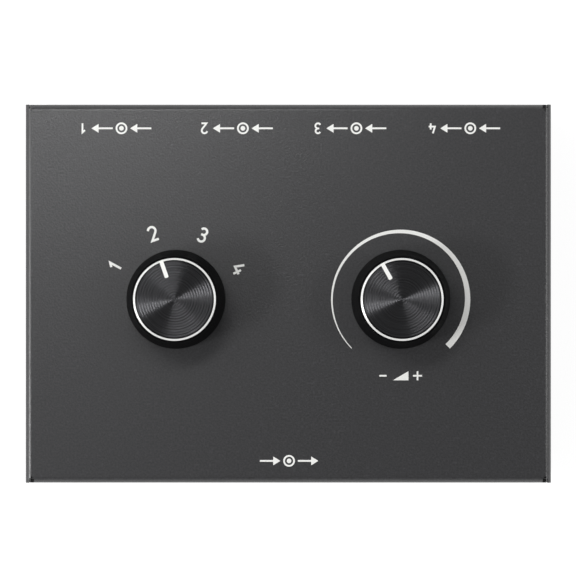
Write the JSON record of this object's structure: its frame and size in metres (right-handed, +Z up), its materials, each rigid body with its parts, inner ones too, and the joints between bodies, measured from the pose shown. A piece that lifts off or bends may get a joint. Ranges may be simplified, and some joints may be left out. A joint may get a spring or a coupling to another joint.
{
  "type": "speaker selector switch",
  "caption": "Low folded-steel desktop box with a rotary selector knob and a volume knob on top, stereo mini sockets along the back and one at the front; both knobs turn.",
  "frame": {"origin": "on the surface that the feet stand on, under the middle of the case", "axes": "+X to the right as the user sees it, along the case's length; +Y to the back, where the row of sockets is; +Z up"},
  "size_m": [0.139, 0.1, 0.056],
  "materials": {
    "case_paint": "fine textured powder coat, dark grey",
    "foot_rubber": "matt",
    "knob_plastic": "smooth moulded black",
    "cap_aluminium": "black anodised, turned in rings, bright cut edge",
    "plated_steel": "zinc plated",
    "shaft_brass": "nickel washed",
    "moulded_nylon": "moulded",
    "contact_metal": "tin plated",
    "phenolic": "pressed phenolic",
    "carbon_track": "screened carbon",
    "circuit_board": "solder resist on glass fibre",
    "jack_plastic": "moulded",
    "jack_nickel": "nickel plated",
    "ribbon_cable": "grey flat cable",
    "header_plastic": "moulded",
    "print_ink": "white screen print"
  },
  "bodies": {
    "case": {"top_cover": "case_paint", "bottom_chassis": "case_paint", "foot_front_left": "foot_rubber", "foot_front_right": "foot_rubber", "foot_back_left": "foot_rubber", "foot_back_right": "foot_rubber", "selector_washer": "plated_steel", "selector_nut": "plated_steel", "volume_washer": "plated_steel", "volume_nut": "plated_steel", "selector_stop_ring": "plated_steel", "case_screws": "plated_steel", "board_screws": "plated_steel", "selector_bushing": "plated_steel", "volume_bushing": "plated_steel", "volume_back_plate": "plated_steel", "board_standoffs": "shaft_brass", "selector_housing": "moulded_nylon", "selector_wafer": "moulded_nylon", "selector_contacts": "contact_metal", "selector_common_rings": "contact_metal", "volume_terminals": "contact_metal", "jack_contact_strips": "contact_metal", "jack_pins": "contact_metal", "volume_upper_gang": "phenolic", "volume_lower_gang": "phenolic", "volume_upper_track": "carbon_track", "volume_lower_track": "carbon_track", "control_board": "circuit_board", "back_jack_board": "circuit_board", "front_jack_board": "circuit_board", "jack_one": "jack_plastic", "jack_two": "jack_plastic", "jack_three": "jack_plastic", "jack_four": "jack_plastic", "jack_front": "jack_plastic", "jack_ferrules": "jack_nickel", "back_cable": "ribbon_cable", "front_cable": "ribbon_cable", "back_cable_headers": "header_plastic", "front_cable_headers": "header_plastic", "back_cable_plugs": "header_plastic", "front_cable_plugs": "header_plastic"},
    "selector": {"selector_knob": "knob_plastic", "selector_cap": "cap_aluminium", "selector_shaft": "shaft_brass", "selector_rotor": "moulded_nylon", "selector_wipers": "contact_metal", "selector_detent_balls": "plated_steel", "selector_detent_springs": "plated_steel"},
    "volume": {"volume_knob": "knob_plastic", "volume_cap": "cap_aluminium", "volume_shaft": "shaft_brass", "volume_wipers": "phenolic"}
  },
  "joints": [
    {"name": "selector_turn", "type": "hinge", "parent": "case", "child": "selector", "pos_m": [-0.0297, -0.0015, 0.038], "axis": [0, 0, -1], "range_deg": [-42, 84]},
    {"name": "volume_turn", "type": "hinge", "parent": "case", "child": "volume", "pos_m": [0.0297, -0.0015, 0.038], "axis": [0, 0, -1], "range_deg": [-106, 164]}
  ]
}
